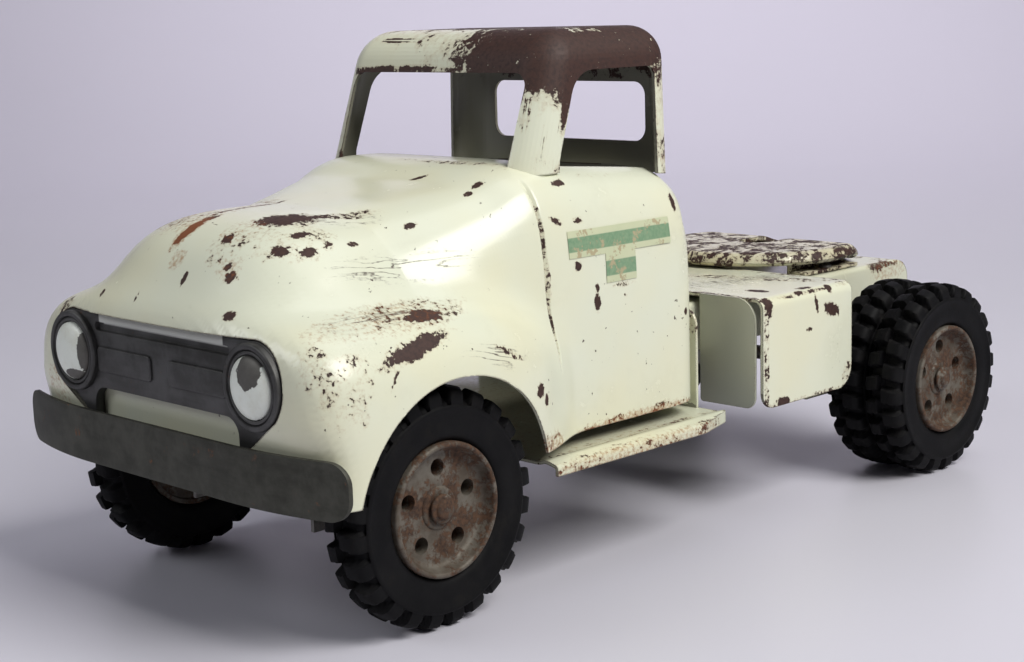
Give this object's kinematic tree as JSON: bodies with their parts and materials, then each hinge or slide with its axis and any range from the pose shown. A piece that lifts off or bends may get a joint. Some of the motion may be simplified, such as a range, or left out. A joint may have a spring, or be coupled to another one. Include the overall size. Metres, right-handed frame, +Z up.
{
  "type": "toy truck tractor",
  "caption": "Pressed-steel toy semi-truck tractor: drawn hood and cab, grille and bumper, running boards, folded saddle cover, slotted fifth wheel, and rubber-tyred wheels with rear duals.",
  "frame": {"origin": "centre of the bounding box on the floor, under the middle of the truck", "axes": "+Y from the nose to the tail, +X towards the driver's (left) side, +Z up"},
  "size_m": [0.1442, 0.2866, 0.1446],
  "materials": {
    "cream_paint": "aged gloss enamel, chipped to dark brown primer and rust",
    "bare_steel": "dull, tarnished",
    "wheel_steel": "dull zinc with brown rust",
    "tyre_rubber": "matte black rubber",
    "door_label": "worn water-slide label, no lettering"
  },
  "bodies": {
    "root": {"body_shell": "cream_paint", "upper_cab": "cream_paint", "running_board_pan": "cream_paint", "chassis_frame": "cream_paint", "saddle_cover": "cream_paint", "fifth_wheel": "cream_paint", "left_headlight_lens": "cream_paint", "right_headlight_lens": "cream_paint", "grille": "bare_steel", "front_bumper": "bare_steel", "front_axle_carrier": "bare_steel", "fifth_wheel_rivet_left": "bare_steel", "fifth_wheel_rivet_right": "bare_steel", "saddle_rivet_left": "bare_steel", "saddle_rivet_right": "bare_steel", "door_label_left": "door_label", "door_label_right": "door_label"},
    "front_axle": {"front_axle": "bare_steel", "front_left_cap": "wheel_steel", "front_right_cap": "wheel_steel", "front_left_spacer": "bare_steel", "front_right_spacer": "bare_steel"},
    "rear_axle": {"rear_axle": "bare_steel", "rear_left_cap": "wheel_steel", "rear_right_cap": "wheel_steel", "rear_left_spacer": "bare_steel", "rear_right_spacer": "bare_steel", "rear_left_dual_spacer": "bare_steel", "rear_right_dual_spacer": "bare_steel"},
    "front_left_wheel": {"front_left_tyre": "tyre_rubber", "front_left_disc": "wheel_steel"},
    "front_right_wheel": {"front_right_tyre": "tyre_rubber", "front_right_disc": "wheel_steel"},
    "rear_left_inner_wheel": {"rear_left_inner_tyre": "tyre_rubber", "rear_left_inner_disc": "wheel_steel"},
    "rear_left_outer_wheel": {"rear_left_outer_tyre": "tyre_rubber", "rear_left_outer_disc": "wheel_steel"},
    "rear_right_inner_wheel": {"rear_right_inner_tyre": "tyre_rubber", "rear_right_inner_disc": "wheel_steel"},
    "rear_right_outer_wheel": {"rear_right_outer_tyre": "tyre_rubber", "rear_right_outer_disc": "wheel_steel"}
  },
  "joints": [
    {"name": "front_axle_spin", "type": "hinge", "parent": "root", "child": "front_axle", "pos_m": [0, -0.09875, 0.0302], "axis": [1, 0, 0], "continuous": true},
    {"name": "rear_axle_spin", "type": "hinge", "parent": "root", "child": "rear_axle", "pos_m": [0, 0.10625, 0.0302], "axis": [1, 0, 0], "continuous": true},
    {"name": "front_left_wheel_spin", "type": "hinge", "parent": "front_axle", "child": "front_left_wheel", "pos_m": [0.0523, -0.09875, 0.0302], "axis": [1, 0, 0], "continuous": true},
    {"name": "front_right_wheel_spin", "type": "hinge", "parent": "front_axle", "child": "front_right_wheel", "pos_m": [-0.0523, -0.09875, 0.0302], "axis": [1, 0, 0], "continuous": true},
    {"name": "rear_left_inner_wheel_spin", "type": "hinge", "parent": "rear_axle", "child": "rear_left_inner_wheel", "pos_m": [0.0516, 0.10625, 0.0302], "axis": [1, 0, 0], "continuous": true},
    {"name": "rear_left_outer_wheel_spin", "type": "hinge", "parent": "rear_axle", "child": "rear_left_outer_wheel", "pos_m": [0.0659, 0.10625, 0.0302], "axis": [1, 0, 0], "continuous": true},
    {"name": "rear_right_inner_wheel_spin", "type": "hinge", "parent": "rear_axle", "child": "rear_right_inner_wheel", "pos_m": [-0.0516, 0.10625, 0.0302], "axis": [1, 0, 0], "continuous": true},
    {"name": "rear_right_outer_wheel_spin", "type": "hinge", "parent": "rear_axle", "child": "rear_right_outer_wheel", "pos_m": [-0.0659, 0.10625, 0.0302], "axis": [1, 0, 0], "continuous": true}
  ]
}
